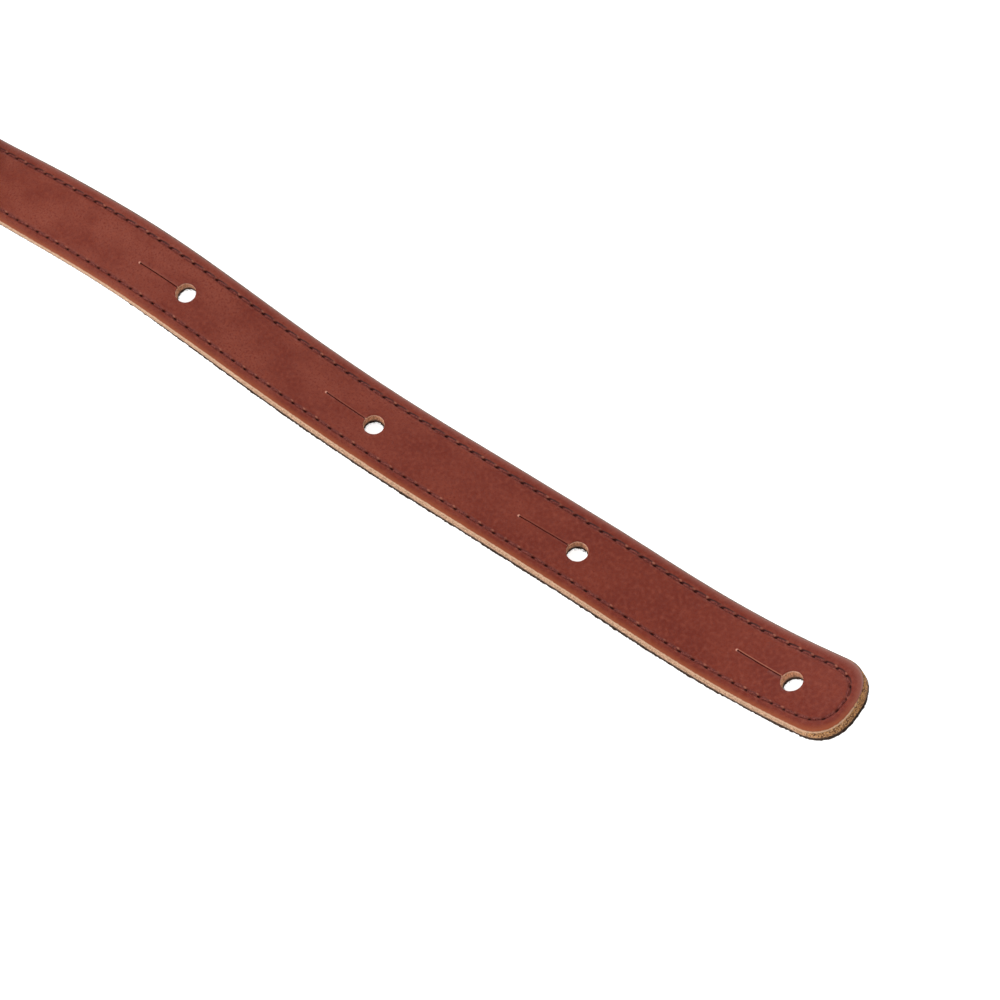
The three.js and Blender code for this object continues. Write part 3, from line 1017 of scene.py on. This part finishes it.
def suede():
    s = Shader("suede", 0.95, 0.12)
    flat = s.attribute("flat", "Vector")
    nap = s.noise(flat, 2.4, 5, 0.7)
    brushed = s.noise(flat, 0.11, 4, 0.6, (0.5, 1, 1))
    strokes = s.noise(flat, 0.5, 3, 0.6, (0.3, 1, 1))
    colour = s.mix(s.ramp(nap, 0.3, 0.75), SUEDE_DARK, SUEDE_LIGHT)
    colour = s.mix(s.ramp(brushed, 0.35, 0.7, 0, 0.6), colour, SUEDE_BRUSHED)
    colour = s.mix(s.ramp(strokes, 0.35, 0.8, 0, 0.4), colour, SUEDE_STROKED)
    s.principled.inputs["Sheen Weight"].default_value = 0.15
    s.principled.inputs["Sheen Roughness"].default_value = 0.6
    s.principled.inputs["Sheen Tint"].default_value = SUEDE_SHEEN
    relief = s.sum(nap, s.product(strokes, 0.8))
    return s.finish(Base_Color=colour, Normal=s.bump(relief, 0.9, 0.0003))


def suede_fibre():
    s = Shader("suede_fibre", 0.9, 0.1)
    colour = s.mix(s.noise(s.place(), 900, 1), FIBRE_DARK, FIBRE_LIGHT)
    return s.finish(Base_Color=colour)


def thread():
    s = Shader("thread", 0.65, 0.12)
    share = s.attribute("share")
    strand = s.noise(s.place(), 2600, 2, 0.6)
    colour = s.mix(s.ramp(strand, 0.35, 0.65), THREAD_DARK, THREAD_LIGHT)
    # both ends take the needle holes' painted shade where they go down into them
    colour = s.mix(s.ramp(share, 0.26, 0.14, 0, 0.95), colour, NEEDLE_HOLE_SHADE)
    colour = s.mix(s.ramp(share, 0.92, 1.0, 0, 0.8), colour, NEEDLE_HOLE_SHADE)
    return s.finish(Base_Color=colour, Normal=s.bump(strand, 0.5, 0.00005))


def dress(made, material, slot, *nodes):
    """Gives a piece its material and its body, and hides the CAD nodes that it stands for. The slot is not
    used.
    """
    made.data.materials.clear()
    made.data.materials.append(material)
    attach(made, "root")
    if nodes:
        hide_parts(*nodes)


# ---------- Stage, light and camera ----------

FLOOR_HALF = 6.0
FLOOR_GAP = 0.0002  # the floor is this little below the strap


def stage():
    corners = [(-1, -1), (1, -1), (1, 1), (-1, 1)]
    mesh = bpy.data.meshes.new("floor")
    mesh.from_pydata([(FLOOR_HALF * x, FLOOR_HALF * y, 0) for x, y in corners], [], [(0, 1, 2, 3)])
    floor = bpy.data.objects.new("floor", mesh)
    bpy.context.scene.collection.objects.link(floor)
    floor.location.z = -FLOOR_GAP
    s = Shader("floor", 0.9, 0.1)
    s.finish(Base_Color=(0.8, 0.8, 0.8, 1), Emission_Color=(1, 1, 1, 1), Emission_Strength=0.85)
    mesh.materials.append(s.material)


def area_light(name, place, aim, size, power):
    light = bpy.data.lights.new(name, "AREA")
    light.shape = "DISK"
    light.size = size
    light.energy = power
    lamp = bpy.data.objects.new(name, light)
    lamp.location = place
    lamp.rotation_euler = (Vector(aim) - Vector(place)).to_track_quat("-Z", "Y").to_euler()
    bpy.context.scene.collection.objects.link(lamp)


def lights():
    world = bpy.data.worlds.new("studio")
    world.use_nodes = True
    world.node_tree.nodes["Background"].inputs["Color"].default_value = (1, 1, 1, 1)
    world.node_tree.nodes["Background"].inputs["Strength"].default_value = 0.55
    bpy.context.scene.world = world
    aim = (0.08, 0, 0)
    area_light("key", (-1.0, -1.2, 1.75), aim, size=1.0, power=36)
    area_light("back", (-0.38, 1.25, 0.5), aim, size=1.2, power=9)


CAMERA_AIM = (126.5, 0.55, 0.0)  # a flat point of the grain side
CAMERA_DISTANCE = 0.6025
CAMERA_AZIMUTH = 42.2
CAMERA_ELEVATION = 61.28
CAMERA_ROLL = -5.17
CAMERA_LENS = 72.0


def camera():
    """A camera turned about a point of the grain side and rolled."""
    aim = Vector((bent_points(np.array([CAMERA_AIM]))[0] + ORIGIN) * MM)
    azimuth, elevation = math.radians(CAMERA_AZIMUTH), math.radians(CAMERA_ELEVATION)
    level_back = Vector((math.sin(azimuth), -math.cos(azimuth), 0))
    back = level_back * math.cos(elevation) + Vector((0, 0, math.sin(elevation)))
    level = Vector((math.cos(azimuth), math.sin(azimuth), 0))
    roll = math.radians(CAMERA_ROLL)
    right = level * math.cos(roll) + back.cross(level) * math.sin(roll)
    up = back.cross(right)
    data = bpy.data.cameras.new("camera")
    data.lens = CAMERA_LENS
    data.sensor_width = 36
    data.clip_start = 0.01
    made = bpy.data.objects.new("camera", data)
    turned = Matrix((right, up, back)).transposed().to_4x4()
    made.matrix_world = Matrix.Translation(aim + back * CAMERA_DISTANCE) @ turned
    bpy.context.scene.collection.objects.link(made)
    bpy.context.scene.camera = made


# ---------- The scene ----------

camera()
dress(leather(), grain_leather(), "grain_leather", "leather_strap")
dress(backing(), suede(), "suede", "suede_backing")
dress(edge_fibres(), suede_fibre(), "suede")
dress(needle_stitches(), thread(), "thread", "needle_thread")
dress(bobbin_stitches(), thread(), "thread", "bobbin_thread")
stage()
lights()
bpy.context.scene.view_settings.view_transform = "Standard"
